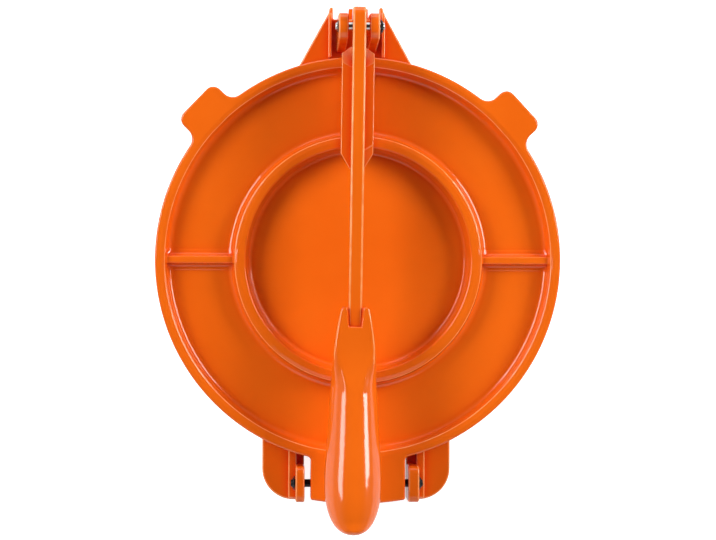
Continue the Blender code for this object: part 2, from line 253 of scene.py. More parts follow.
# Rear flanges with the hinge lugs.
hinge_lug_inner = 0.02645
hinge_lug_outer = 0.03095
right_lug_extra = 0.0010
hinge_lug_radius = 0.0092
hinge_lug_power = 5
hinge_step_outer = 0.0345
hinge_step_top = 0.0130
rear_flange_half = 0.0476
rear_flange_top = 0.0085
rear_flange_corner = 0.0157
rear_flange_overlap = 0.0170


def arc(center, radius, start, end, steps=arc_steps):
    """Points of an arc, from the start angle to the end angle in degrees."""
    points = []
    for step in range(steps + 1):
        angle = math.radians(start + (end - start) * step / steps)
        points.append((center[0] + radius * math.cos(angle), center[1] + radius * math.sin(angle)))
    return points


def turned(point, angle):
    """A plan point turned about the middle."""
    x, y = point
    return (x * math.cos(angle) - y * math.sin(angle), x * math.sin(angle) + y * math.cos(angle))


def angle_of(point):
    """The direction of a plan point from the middle, from 0 to a full turn."""
    return math.atan2(point[1], point[0]) % math.tau


def new_object(mesh, looks=None):
    """A new object in the scene for a mesh, with the orange enamel and the pale colour that paints
    highlights if no looks are given.
    """
    if not mesh.materials:
        for look in (orange, painted_highlight) if looks is None else looks:
            mesh.materials.append(look)
    result = bpy.data.objects.new(mesh.name, mesh)
    bpy.context.scene.collection.objects.link(result)
    return result


def mesh_from(name, points, faces):
    """A mesh from points and faces, with its faces turned outwards."""
    mesh = bpy.data.meshes.new(name)
    mesh.from_pydata([tuple(point) for point in points], [], faces)
    work = bmesh.new()
    work.from_mesh(mesh)
    bmesh.ops.recalc_face_normals(work, faces=work.faces)
    work.to_mesh(mesh)
    work.free()
    return mesh


def skin(name, rows, first=None, last=None, pale=()):
    """A closed skin through rows that each run once around, ended by a point or by a flat face.

    Pale holds the numbers of the rows whose faces get the pale colour that paints highlights.
    """
    count = len(rows[0])
    points = [point for row in rows for point in row]
    faces = []
    for row in range(len(rows) - 1):
        for column in range(count):
            after = (column + 1) % count
            low = row * count
            high = low + count
            faces.append((low + column, low + after, high + after, high + column))
    for tip, start in ((first, 0), (last, (len(rows) - 1) * count)):
        if tip is None:
            faces.append(tuple(range(start, start + count)))
            continue
        points.append(tip)
        for column in range(count):
            faces.append((start + column, start + (column + 1) % count, len(points) - 1))
    mesh = mesh_from(name, points, faces)
    for row in pale:
        for column in range(count):
            mesh.polygons[row * count + column].material_index = 1
    return mesh


def slab(name, outline, low, high, along="Z"):
    """A flat outline made thick: an XY outline along Z, or a YZ outline along X."""
    if along == "Z":
        rows = [[(x, y, level) for x, y in outline] for level in (low, high)]
    else:
        rows = [[(level, y, z) for y, z in outline] for level in (low, high)]
    return skin(name, rows)


def ring(x, y, z, radius):
    """The points of a circle about an axis along X."""
    return [(x, y + radius * math.cos(math.tau * step / pin_facets),
             z + radius * math.sin(math.tau * step / pin_facets)) for step in range(pin_facets)]


def rod(name, radius, low, high, y, z, end_round):
    """A round bar along X with rounded ends."""
    outline = [(low, rod_face_share * radius)]
    outline += arc((low + end_round, radius - end_round), end_round, 180, 90, small_steps)
    outline += arc((high - end_round, radius - end_round), end_round, 90, 0, small_steps)
    outline += [(high, rod_face_share * radius)]
    return skin(name, [ring(x, y, z, r) for x, r in outline])


def bevel(piece, width, segments=3, angle=30, pale=True):
    """Rounds the sharp edges of a piece, inside and outside corners alike, and paints them pale as a
    highlight.
    """
    modifier = piece.modifiers.new("Round", "BEVEL")
    modifier.width = width
    modifier.segments = segments
    modifier.limit_method = "ANGLE"
    modifier.angle_limit = math.radians(angle)
    modifier.miter_outer = "MITER_ARC"
    if pale:
        modifier.material = 1


def boolean(piece, tool, operation):
    """Joins or cuts a piece with a tool."""
    modifier = piece.modifiers.new(tool.name, "BOOLEAN")
    modifier.operation = operation
    modifier.object = tool
    modifier.solver = "EXACT"


def settle(piece, tools=()):
    """Makes the modifiers of a piece part of its mesh and removes its tools."""
    bpy.context.view_layer.update()
    evaluated = piece.evaluated_get(bpy.context.evaluated_depsgraph_get())
    mesh = bpy.data.meshes.new_from_object(evaluated)
    piece.modifiers.clear()
    old = piece.data
    piece.data = mesh
    mesh.name = old.name
    for tool in tools:
        bpy.data.objects.remove(tool)
    return piece


def smooth(piece):
    """Smooth shading over round stretches, with flat faces kept flat."""
    piece.data.shade_smooth()
    piece.data.set_sharp_from_angle(angle=smooth_angle)
    weighted = piece.modifiers.new("Weighted", "WEIGHTED_NORMAL")
    weighted.keep_sharp = True
    weighted.weight = 50


def joined(name, pieces):
    """Several objects made one."""
    work = bmesh.new()
    for piece in pieces:
        mesh = piece.data.copy()
        mesh.transform(piece.matrix_world)
        work.from_mesh(mesh)
        bpy.data.meshes.remove(mesh)
        bpy.data.objects.remove(piece)
    mesh = bpy.data.meshes.new(name)
    work.to_mesh(mesh)
    work.free()
    return new_object(mesh)


# Enamel and metal finishes: colours, patches per metre, and the depths of peel and scratches. The pale
# colour paints highlights on edges and facets, and the dark red paints shade into corners.

orange_top = (0.90, 0.150, 0.0065)
orange_deep = (0.86, 0.134, 0.0050)
orange_peel = 0.35
orange_patches = 18.0
# Painted highlight: a pale colour for edges, shoe facets and handle corners where light catches them.
highlight_top = (1.0, 0.36, 0.115)
highlight_deep = (0.96, 0.25, 0.055)
highlight_peel = 0.2
highlight_patches = 140.0
patch_stops = (0.35, 0.65)
# Painted shade: a dark red mixed in where corners and recesses lie in shade, within a reach in metres.
painted_shade = (0.80, 0.055, 0.004)
painted_shade_reach = 0.0045
painted_shade_full_at = 0.3
fine_scale = 620.0
fine_depth = 0.00003
wide_scale = 260.0
wide_depth = 0.00016
gloss_low = 0.07
gloss_high = 0.13
steel_color = (0.62, 0.62, 0.60)
steel_roughness = 0.20
steel_grain = 0.06
black_color = (0.030, 0.028, 0.030)
black_roughness = 0.34
black_grain = 0.08
scratch_scale = (2400.0, 300.0, 300.0)
scratch_strength = 0.25
scratch_depth = 0.00002
scratch_share = 0.7


def adder(tree):
    """A function that adds a node to a tree and sets its inputs and settings by name."""
    def add(kind, **values):
        node = tree.nodes.new(kind)
        for key, value in values.items():
            if key in node.inputs:
                node.inputs[key].default_value = value
            else:
                setattr(node, key, value)
        return node

    return add


def nodes_of(name):
    """A new material, a function that links its nodes, its shader and a function that adds a node."""
    material = bpy.data.materials.new(name)
    material.use_nodes = True
    tree = material.node_tree
    return material, tree.links.new, tree.nodes["Principled BSDF"], adder(tree)


def enamel(name, color, deep, peel_strength, patches):
    """Glossy enamel that varies between two colours, with dark red painted shade in corners, and fine
    orange peel.
    """
    material, link, shader, add = nodes_of(name)
    place = add("ShaderNodeTexCoord")
    cloud = add("ShaderNodeTexNoise", Scale=patches, Detail=3.0, Roughness=0.55)
    link(place.outputs["Object"], cloud.inputs["Vector"])
    ramp = add("ShaderNodeValToRGB")
    for stop, position, tint in zip(ramp.color_ramp.elements, patch_stops, (deep, color)):
        stop.position = position
        stop.color = (*tint, 1.0)
    link(cloud.outputs["Fac"], ramp.inputs["Fac"])
    # Painted shade: occlusion mixes the dark red into corners.
    corner = add("ShaderNodeAmbientOcclusion", samples=6, Distance=painted_shade_reach)
    painted_shade_share = add("ShaderNodeMapRange", **{"From Min": 1.0, "From Max": painted_shade_full_at})
    link(corner.outputs["AO"], painted_shade_share.inputs["Value"])
    mix = add("ShaderNodeMix", data_type="RGBA")
    mix.inputs["B"].default_value = (*painted_shade, 1.0)
    link(painted_shade_share.outputs["Result"], mix.inputs["Factor"])
    link(ramp.outputs["Color"], mix.inputs["A"])
    link(mix.outputs["Result"], shader.inputs["Base Color"])
    fine = add("ShaderNodeTexNoise", Scale=fine_scale, Detail=2.0, Roughness=0.5)
    wide = add("ShaderNodeTexNoise", Scale=wide_scale, Detail=1.0, Roughness=0.5)
    for noise in (fine, wide):
        link(place.outputs["Object"], noise.inputs["Vector"])
    low = add("ShaderNodeBump", Strength=peel_strength, Distance=wide_depth)
    link(wide.outputs["Fac"], low.inputs["Height"])
    high = add("ShaderNodeBump", Strength=peel_strength, Distance=fine_depth)
    link(fine.outputs["Fac"], high.inputs["Height"])
    link(low.outputs["Normal"], high.inputs["Normal"])
    link(high.outputs["Normal"], shader.inputs["Normal"])
    rough = add("ShaderNodeMapRange", **{"To Min": gloss_low, "To Max": gloss_high})
    link(wide.outputs["Fac"], rough.inputs["Value"])
    link(rough.outputs["Result"], shader.inputs["Roughness"])
    return material


def metal(name, color, roughness, grain):
    """Bare or blackened steel with fine scratches around its length."""
    material, link, shader, add = nodes_of(name)
    place = add("ShaderNodeTexCoord")
    stretch = add("ShaderNodeMapping", Scale=scratch_scale)
    link(place.outputs["Object"], stretch.inputs["Vector"])
    lines = add("ShaderNodeTexNoise", Scale=1.0, Detail=2.0)
    link(stretch.outputs["Vector"], lines.inputs["Vector"])
    rough = add("ShaderNodeMapRange", **{"To Min": roughness - grain, "To Max": roughness + grain})
    link(lines.outputs["Fac"], rough.inputs["Value"])
    link(rough.outputs["Result"], shader.inputs["Roughness"])
    bump = add("ShaderNodeBump", Strength=scratch_strength, Distance=scratch_depth)
    link(lines.outputs["Fac"], bump.inputs["Height"])
    link(bump.outputs["Normal"], shader.inputs["Normal"])
    tint = add("ShaderNodeMix", data_type="RGBA")
    tint.inputs["A"].default_value = (*color, 1.0)
    tint.inputs["B"].default_value = (*(scratch_share * channel for channel in color), 1.0)
    link(lines.outputs["Fac"], tint.inputs["Factor"])
    link(tint.outputs["Result"], shader.inputs["Base Color"])
    shader.inputs["Metallic"].default_value = 1.0
    return material


orange = enamel("orange_enamel", orange_top, orange_deep, orange_peel, orange_patches)
# The pale colour paints highlight lines on edges and facets.
painted_highlight = enamel("painted_highlight_enamel", highlight_top, highlight_deep, highlight_peel, highlight_patches)
steel = metal("pin_steel", steel_color, steel_roughness, steel_grain)
black = metal("black_steel", black_color, black_roughness, black_grain)


# Upper plate.

def feature(half, outer, corner, root, shift=0.0, bow=0.0):
    """The outline of something that stands out from the rim towards +Y, from right to left."""
    right = []
    for side in (1, -1):
        root_x = half + root + side * shift
        root_y = math.sqrt((plate_radius + root) ** 2 - root_x ** 2)
        rim_turn = math.degrees(math.atan2(-root_y, -root_x))
        points = arc((root_x, root_y), root, rim_turn + 360, 180)
        corner_x = half - corner
        if bow:
            bow_radius = (half ** 2 + bow ** 2) / (2 * bow)
            middle_y = outer - bow_radius
            corner_y = middle_y + math.sqrt((bow_radius - corner) ** 2 - corner_x ** 2)
            stop = math.degrees(math.atan2(corner_y - middle_y, corner_x))
        else:
            corner_y = outer - corner
            stop = 90
        edge = arc((corner_x, corner_y), corner, 0, stop)
        if bow:
            edge += arc((0, middle_y), bow_radius, stop, 90, bow_steps)[1:-1]
        points += [(x + side * shift, y) for x, y in edge]
        right.append(points)
    left = [(-x, y) for x, y in reversed(right[1])]
    return right[0] + left


def plate_outline():
    """The upper plate's outline with, for each point, the angle of the rim that it belongs to."""
    features = []
    for side in (-1, 1):
        tab = feature(tab_half, plate_radius + tab_reach, tab_corner, tab_root)
        turn = side * tab_angle + tab_turn
        features.append([turned(point, turn) for point in tab])
    tongue = feature(tongue_half, tongue_end, tongue_corner, tongue_root, -tongue_shift, tongue_bow)
    features.append([turned(point, math.pi) for point in tongue])
    features.sort(key=lambda points: angle_of(points[0]))
    outline = []
    angles = []
    for number, points in enumerate(features):
        start = angle_of(points[0])
        end = angle_of(points[-1])
        lengths = [0.0]
        for before, after in zip(points, points[1:]):
            lengths.append(lengths[-1] + math.dist(before, after))
        for point, length in zip(points, lengths):
            outline.append(point)
            angles.append(start + (end - start) * length / lengths[-1])
        following = angle_of(features[(number + 1) % len(features)][0])
        sweep = (following - end) % math.tau
        steps = math.ceil(sweep / turn_step)
        for step in range(1, steps):
            angle = end + sweep * step / steps
            outline.append((plate_radius * math.cos(angle), plate_radius * math.sin(angle)))
            angles.append(angle)
    return outline, angles


def rounded_path(corners):
    """Points along a path of straight lines whose corners, given with their radii, are round."""
    path = [corners[0][:2]]
    for before, corner, after in zip(corners, corners[1:], corners[2:]):
        here = Vector(corner[:2])
        radius = corner[2]
        if not radius:
            path.append(tuple(here))
            continue
        back = (Vector(before[:2]) - here).normalized()
        ahead = (Vector(after[:2]) - here).normalized()
        half = back.angle(ahead) / 2
        center = here + (back + ahead).normalized() * radius / math.sin(half)
        start = here + back * radius / math.tan(half) - center
        sweep = start.angle_signed(here + ahead * radius / math.tan(half) - center)
        steps = max(arc_steps // 2, round(abs(sweep) / path_step))
        for step in range(steps + 1):
            turn = Matrix.Rotation(-sweep * step / steps, 2)
            path.append(tuple(center + turn @ start))
    path.append(corners[-1][:2])
    return path


def outward(outline):
    """The outward direction at each point of a closed outline that runs counterclockwise."""
    points = np.array(outline)
    along = np.roll(points, -1, axis=0) - points
    along /= np.linalg.norm(along, axis=1)[:, None]
    mean = along + np.roll(along, 1, axis=0)
    mean /= np.linalg.norm(mean, axis=1)[:, None]
    return np.stack([mean[:, 1], -mean[:, 0]], axis=1)


def top_profile():
    """Radius and height of the upper plate's top, from its middle to the flat of the rim."""
    ring_inner = ring_outer - ring_width
    rim_inner = plate_radius - rim_width
    recess_foot = ring_inner - recess_draft
    ring_foot = ring_outer + wall_draft
    rim_foot = rim_inner - wall_draft
    middle = (ring_foot + rim_foot) / 2
    drop = band_width * math.tan(band_slope)
    corners = [
        (floor_start_share * recess_foot, recess_floor, 0),
        (recess_foot, recess_floor, recess_fillet),
        (ring_inner, rim_top, edge_round),
        (ring_outer - band_width, rim_top, crease_round),
        (ring_outer, rim_top - drop, edge_round),
        (ring_foot, trough_floor, trough_fillet),
        (middle, trough_floor - floor_sag, 0),
        (rim_foot, trough_floor, trough_fillet),
        (rim_inner, rim_top - drop, edge_round),
        (rim_inner + band_width, rim_top, crease_round),
        (plate_radius - edge_round, rim_top, 0),
    ]
    return rounded_path(corners)[:-1]


profile = top_profile()


def top_height(radius):
    """The height of the upper plate's top at a radius, without its spokes."""
    radii, heights = zip(*profile)
    return np.interp(radius, [0.0, *radii, plate_radius], [recess_floor, *heights, rim_top])


def plate_casting():
    """The upper plate's disc with its rim, tabs and tongue in one skin."""
    outline, angles = plate_outline()
    around = np.stack([np.cos(angles), np.sin(angles)], axis=1)
    edge = np.array(outline)
    out = outward(outline)

    def level(plan, height):
        return [(x, y, height) for x, y in plan]

    rows = [level(around * radius, height) for radius, height in profile]
    for angle in np.linspace(0, math.pi / 2, arc_steps + 1):
        plan = edge - out * edge_round * (1 - math.sin(angle))
        rows.append(level(plan, rim_top - edge_round * (1 - math.cos(angle))))
    under = rim_top - tab_thickness
    reach = np.linalg.norm(edge, axis=1) - plate_radius
    share = np.clip(reach / edge_round, 0, 1)[:, None]
    for angle in np.linspace(0, math.pi / 2, arc_steps + 1):
        plan = edge - out * edge_round * share * (1 - math.cos(angle))
        rows.append(level(plan, under + edge_round * (1 - math.sin(angle))))
    wall = plate_radius - side_draft
    rows.append(level(around * wall, under - side_draft))
    rows.append(level(around * (wall - side_draft), press_face + side_foot_round))
    rows.append(level(around * (wall - side_draft - side_foot_round), press_face))
    rows.append(level(around * (plate_radius / 2), press_face))
    lowest = rim_top - band_width * math.tan(band_slope) - edge_round
    # Rows of rounded edges at these slopes get the pale colour as painted highlight lines.
    pale = []
    for row, ((r, z), (next_r, next_z)) in enumerate(zip(profile, profile[1:])):
        turn = abs(math.atan2(next_z - z, next_r - r))
        outside = r > ring_outer - ring_width / 2
        if outside and min(z, next_z) > lowest and highlight_slope_least < turn < highlight_slope_most:
            pale.append(row)
    mesh = skin("upper_plate_casting", rows, (0, 0, recess_floor), (0, 0, press_face), pale)
    return new_object(mesh)


def smooth_greater(first, second, reach):
    """The greater of two heights, with a fillet where they cross."""
    near = np.clip(1 - np.abs(first - second) / reach, 0, 1)
    return np.maximum(first, second) + near ** 2 * reach / 4


def spoke_section():
    """Distance from the middle and height of a spoke's right side, from its middle to its foot."""
    top = rim_top - spoke_drop
    points = [(0.0, top)]
    points += arc((spoke_half - spoke_round, top - spoke_round), spoke_round, 90, 0)
    foot = (spoke_half + spoke_lean + spoke_foot, trough_floor - floor_sag + spoke_foot)
    points += arc(foot, spoke_foot, 180, 270)
    points.append((foot[0] + spoke_round, trough_floor - spoke_foot))
    return points


def spoke(number):
    """One spoke with its fillets, as a closed skin that lies on the trough and both its walls."""
    section = spoke_section()
    across = [(-x, z) for x, z in reversed(section[1:])] + section
    start = ring_outer - ring_width / 2
    end = plate_radius - rim_width / 2
    lengths = [start + (end - start) * (1 - math.cos(math.pi * step / spoke_steps)) / 2
               for step in range(spoke_steps + 1)]
    upper = []
    lower = []
    for length in lengths:
        for x, z in across:
            ground = float(top_height(math.hypot(x, length)))
            height = float(smooth_greater(ground, z, spoke_blend))
            if z < trough_floor - floor_sag:
                height = ground
            upper.append((x, length, height + skin_lift))
            lower.append((x, length, ground - spoke_round))
    columns = len(across)
    rows = len(lengths)
    points = upper + lower
    below = len(upper)
    faces = []
    for row in range(rows - 1):
        for column in range(columns - 1):
            near = row * columns + column
            far = near + columns
            faces.append((near, near + 1, far + 1, far))
            faces.append((below + near, below + far, below + far + 1, below + near + 1))
    rim = list(range(columns))
    rim += [row * columns + columns - 1 for row in range(1, rows)]
    rim += [(rows - 1) * columns + column for column in range(columns - 2, -1, -1)]
    rim += [row * columns for row in range(rows - 2, 0, -1)]
    for near, far in zip(rim, rim[1:] + rim[:1]):
        faces.append((near, far, below + far, below + near))
    piece = new_object(mesh_from(f"spoke_{number}", points, faces))
    piece.matrix_world = Matrix.Rotation(math.tau * number / spoke_count, 4, "Z")
    return piece


def knuckle():
    """The lower half of the tongue, round about the hinge pin."""
    top = rim_top - tab_thickness + edge_round
    bottom = hinge.z - knuckle_radius
    end = -tongue_end + 2 * knuckle_inset
    root = -(plate_radius - rim_width)
    drop = hinge.z - press_face
    first = -math.degrees(math.asin(drop / knuckle_radius))
    outline = [(root, press_face + 2 * knuckle_inset)]
    outline += arc((hinge.y, hinge.z), knuckle_radius, first, -90, knuckle_steps)
    outline += arc((end + knuckle_corner, bottom + knuckle_corner), knuckle_corner, 270, 180)
    outline += [(end, top), (root, top)]
    half = tongue_half - knuckle_inset
    wide = half + knuckle_corner
    body = new_object(slab("knuckle", outline, -wide, wide, "X"))
    bow_radius = (half ** 2 + tongue_bow ** 2) / (2 * tongue_bow)
    turn = math.degrees(math.asin(half / bow_radius))
    plan = arc((tongue_shift, end + bow_radius), bow_radius, 270 - turn, 270 + turn, wide_steps)
    plan += [(tongue_shift + half, root + knuckle_inset), (tongue_shift - half, root + knuckle_inset)]
    cut = new_object(slab("knuckle_plan", plan, bottom - half, top + half))
    radius = hinge_pin_high.z - hinge.z + plate_gap
    hole = new_object(rod("knuckle_hole", radius, -2 * half, 2 * half, hinge.y, hinge.z, knuckle_inset))
    boolean(body, cut, "INTERSECT")
    boolean(body, hole, "DIFFERENCE")
    settle(body, [cut, hole])
    bevel(body, knuckle_round, pale=False)
    return settle(body)


def build_upper_plate():
    """The upper casting."""
    shells = [plate_casting(), knuckle()]
    shells += [spoke(number) for number in range(spoke_count)]
    bpy.context.view_layer.update()
    return joined("upper_plate_skin", shells)


def smooth_table(table, value):
    """The value of a table at a place, along a smooth curve through its points."""
    places, values = np.array(table).T
    slopes = np.gradient(values, places)
    slopes[-1] = 0
    index = int(np.clip(np.searchsorted(places, value) - 1, 0, len(places) - 2))
    length = places[index + 1] - places[index]
    share = (value - places[index]) / length
    low, high = values[index], values[index + 1]
    rise, fall = slopes[index] * length, slopes[index + 1] * length
    rest = 1 - share
    return (low * (1 + 2 * share) * rest ** 2 + rise * share * rest ** 2
            + high * share * share * (3 - 2 * share) + fall * share * share * (share - 1))


def handle_half_width(place):
    """Half the handle's width at a distance from its front."""
    if place < handle_full_at:
        return smooth_table(handle_widths, place)
    share = min(1.0, (place - handle_full_at) / (handle_length - handle_full_at))
    return handle_widths[-1][1] * (1 - share ** handle_end_power) ** (1 / handle_end_power)


def bent(value, power):
    """A cosine or sine bent so that the curve it draws is squarer than a circle."""
    return np.copysign(np.abs(value) ** (2 / power), value)


def smooth_step(value, start, end):
    """A smooth rise from 0 at the start to 1 at the end."""
    share = np.clip((value - start) / (end - start), 0, 1)
    return share * share * (3 - 2 * share)


def handle_power(place):
    """How square the handle's crown is at a distance from its front: 2 is round."""
    share = smooth_step(place, handle_flat_start, handle_flat_end) ** 0.5
    return handle_flat_power + (2 - handle_flat_power) * share


def handle_section(place):
    """Shares of the half width and of the height over and under the parting line, evenly spaced."""
    turns = np.linspace(0, math.tau, section_facets, endpoint=False)
    power = np.where(np.sin(turns) > 0, handle_power(place), handle_under_power)
    across = bent(np.cos(turns), power)
    height = bent(np.sin(turns), power)
    step = np.hypot(np.diff(across, append=across[0]), np.diff(height, append=height[0]))
    length = np.concatenate([[0], np.cumsum(step)])
    even = np.linspace(0, length[-1], handle_columns, endpoint=False)
    across = np.interp(even, length, np.append(across, across[0]))
    height = np.interp(even, length, np.append(height, height[0]))
    return across, height


def handle_lift(place):
    """How far the handle has risen at a distance from its level front."""
    past = max(0.0, place - handle_bend_start)
    if past < handle_bend_length:
        return handle_slope * past * past / (2 * handle_bend_length)
    return handle_slope * (past - handle_bend_length / 2)


def horn_cut(across):
    """How far the handle's front is cut back at a share of its half width: nothing at the horns."""
    share = abs(across)
    inner = 1 - smooth_step(share, horn_root_share, horn_inner_share)
    outer = max(0.0, (share - horn_round_share) / (1 - horn_round_share))
    return handle_notch * inner + horn_round * outer ** 2


def handle():
    """The handle: a level fork about the bar, flat on top, that turns into a rising round grip."""
    reach = handle_length - handle_full_at
    places = [handle_full_at * step / handle_steps for step in range(handle_steps)]
    for step in range(handle_end_steps):
        angle = math.pi / 2 * step / handle_end_steps
        places.append(handle_full_at + reach * math.sin(angle) ** (2 / handle_end_power))
    stations = [(handle_edge * (1 - math.sin(angle)), handle_edge * (1 - math.cos(angle)))
                for angle in np.linspace(math.pi / 2, 0, arc_steps)]
    stations += [(place, 0.0) for place in places[1:]]
    rows = []
    pale = []
    for place, inset in stations:
        row = []
        for column, (across, height) in enumerate(zip(*handle_section(place))):
            along = place + horn_cut(across) * max(0.0, 1 - place / handle_full_at)
            half = handle_half_width(along)
            drop = half * handle_drop_share
            crown = max(bar_over - middle_height, half * handle_top_share)
            crown *= min(1.0, half / handle_widths[0][1])
            rise = (crown + drop if height > 0 else half * handle_under_share) - inset
            row.append(handle_point((half - inset) * across, along, rise * height - drop))
            # Steep corners of the flat front get the pale colour as a painted highlight line.
            steep = abs(across) > corner_share and height > corner_share
            if steep and handle_power(place) > highlight_power:
                pale.append(len(rows) * handle_columns + column)
        rows.append(row)
    tip = handle_point(0, handle_length, 0)
    nose = handle_point(0, 2 * handle_notch, -handle_half_width(0) * handle_drop_share)
    mesh = skin("handle", rows, nose, tip)
    for number in pale:
        mesh.polygons[number].material_index = 1
    return new_object(mesh)


def handle_point(x, along, up):
    """A point of the handle from its place across, along and above its axis."""
    return (x, -handle_start - along, pivot.z + middle_height - handle_low + handle_lift(along) + up)


def cut_away(work, place, direction):
    """Cuts off what lies beyond a plane and closes the cut."""
    everything = work.verts[:] + work.edges[:] + work.faces[:]
    result = bmesh.ops.bisect_plane(work, geom=everything, plane_co=place, plane_no=direction,
                                    clear_outer=True)
    edges = [item for item in result["geom_cut"] if isinstance(item, bmesh.types.BMEdge)]
    bmesh.ops.contextual_create(work, geom=edges)


def plane_through(first, second, third, outside):
    """A point and a direction of the plane through three points, facing the outside point."""
    first, second, third = Vector(first), Vector(second), Vector(third)
    direction = (second - first).cross(third - first).normalized()
    if direction.dot(Vector(outside) - first) < 0:
        direction.negate()
    return first, direction


def half_shoe(side):
    """One side of the shoe: a cam below, and above a ledge with a sloping front and tail."""
    top = pivot.z - ledge_drop
    contact_z = rim_top + contact_gap
    front_low = pivot.z - shoe_front_low
    outline = []
    for step in range(cam_steps + 1):
        share = step / cam_steps
        reach = shoe_front + (contact_reach - shoe_front) * share
        outline.append((-reach, contact_z + (front_low - contact_z) * (1 - share) ** cam_power))
    outline.append((-contact_reach - ring_width, contact_z + shoe_round))
    outline += [(-shoe_tail_inner, pivot.z - bar_under), (-shoe_tail_inner, top), (-shoe_front, top)]
    outline = [(pivot.y + y, z) for y, z in outline]
    mesh = slab("shoe", outline, 0, shoe_half, "X")
    work = bmesh.new()
    work.from_mesh(mesh)
    edge_z = pivot.z - shoe_front_edge
    tail_z = top - shoe_tail_drop
    inner, outer = bar_half, shoe_half
    y = pivot.y
    cuts = (
        ((inner, y - shoe_front, 0), (outer, y - shoe_front - shoe_front_taper, 0),
         (inner, y - shoe_front, top), (outer, y, top)),
        ((inner, y - shoe_front, edge_z), (outer, y - ledge_front_outer, top),
         (inner, y - ledge_front_inner, top), (inner, y, y)),
        ((inner, y - shoe_tail_inner, 0), (outer, y - shoe_tail_outer, 0),
         (inner, y - shoe_tail_inner, top), (outer, 0, top)),
        ((inner, y - ledge_back_inner, top), (outer, y - ledge_back_outer, top),
         (outer, y - shoe_tail_outer, tail_z), (outer, 0, y)),
    )
    for first, second, third, outside in cuts if side > 0 else cuts[:-1]:
        cut_away(work, *plane_through(first, second, third, outside))
    if side < 0:
        bmesh.ops.transform(work, matrix=Matrix.Scale(-1, 4, (1, 0, 0)), verts=work.verts)
    bmesh.ops.recalc_face_normals(work, faces=work.faces)
    # Faces that lean forward and up get the pale colour as a painted reflection.
    for face in work.faces:
        if face.normal.y > facet_highlight_least and face.normal.z > facet_highlight_least:
            face.material_index = 1
    work.to_mesh(mesh)
    work.free()
    piece = new_object(mesh)
    bevel(piece, shoe_round, angle=25)
    return settle(piece)


def bar():
    """The lever's bar with its round nose and rounded long edges."""
    top = pivot.z + bar_over
    under = pivot.z - bar_under
    nose = pivot.y + nose_reach
    end = -handle_start - bar_overlap
    middle = pivot.z + middle_height
    outline = [(end, middle - bar_end_half)]
    outline += arc((nose - nose_round, under + nose_round), nose_round, 270, 360, nose_steps)
    outline += arc((nose - nose_round, top - nose_round), nose_round, 0, 90, nose_steps)
    outline += [(end, middle + bar_end_half)]
    piece = new_object(slab("bar", outline, -bar_half, bar_half, "X"))
    bevel(piece, bar_bevel, segments=5, angle=40)
    return settle(piece)


def build_lever():
    """The whole lever, leaning about its pivot."""
    lever = bar()
    tools = [half_shoe(1), half_shoe(-1), handle()]
    for tool in tools:
        boolean(lever, tool, "UNION")
    radius = pin_hole_share * (pin_high.z - pin_low.z) / 2
    hole = new_object(rod("lever_hole", radius, -shoe_half, shoe_half, pivot.y, pivot.z, contact_gap))
    boolean(lever, hole, "DIFFERENCE")
    settle(lever, [*tools, hole])
    back = Matrix.Translation((front_middle, pivot.y, pivot.z))
    lean = Matrix.Rotation(lever_lean, 4, "Z")
    lever.data.transform(back @ lean @ Matrix.Translation((0, -pivot.y, -pivot.z)))
    lever.name = "lever_casting"
    return lever


def base_disc():
    """The lower pressing disc with its skirt and hub, turned about the middle."""
    top = base_height
    under = base_height - base_floor
    inner = base_radius - skirt_width
    profile = [(base_radius / 2, top)]
    profile += arc((base_radius - edge_round, top - edge_round), edge_round, 90, 0)
    profile += arc((base_radius - edge_round, edge_round), edge_round, 0, -90)
    profile += [(inner, 0.0), (inner - skirt_draft, under - edge_round)]
    profile += arc((inner - skirt_draft - edge_round, under - edge_round), edge_round, 0, 90)
    profile += arc((hub_radius + skirt_draft + edge_round, under - edge_round), edge_round, 90, 180)
    profile += [(hub_radius, 0.0)]
    rows = []
    for radius, height in profile:
        rows.append([(radius * math.cos(math.tau * step / disc_facets),
                      radius * math.sin(math.tau * step / disc_facets), height)
                     for step in range(disc_facets)])
    return new_object(skin("base_casting", rows, (0, 0, top), (0, 0, 0)))


def base_ribs():
    """The ribs under the base, from its hub to its skirt."""
    reach = base_radius - skirt_width / 2
    ribs = []
    for number in range(spoke_count):
        outline = [(-rib_half, hub_radius / 2), (rib_half, hub_radius / 2),
                   (rib_half, reach), (-rib_half, reach)]
        rib = new_object(slab(f"rib_{number}", outline, rib_lift, base_height - base_floor / 2))
        rib.matrix_world = Matrix.Rotation(math.tau * number / spoke_count, 4, "Z")
        ribs.append(rib)
    return ribs


def cast(mesh, width=cast_round):
    """A piece of a casting with its edges rounded."""
    piece = new_object(mesh)
    bevel(piece, width, angle=35)
    return settle(piece)


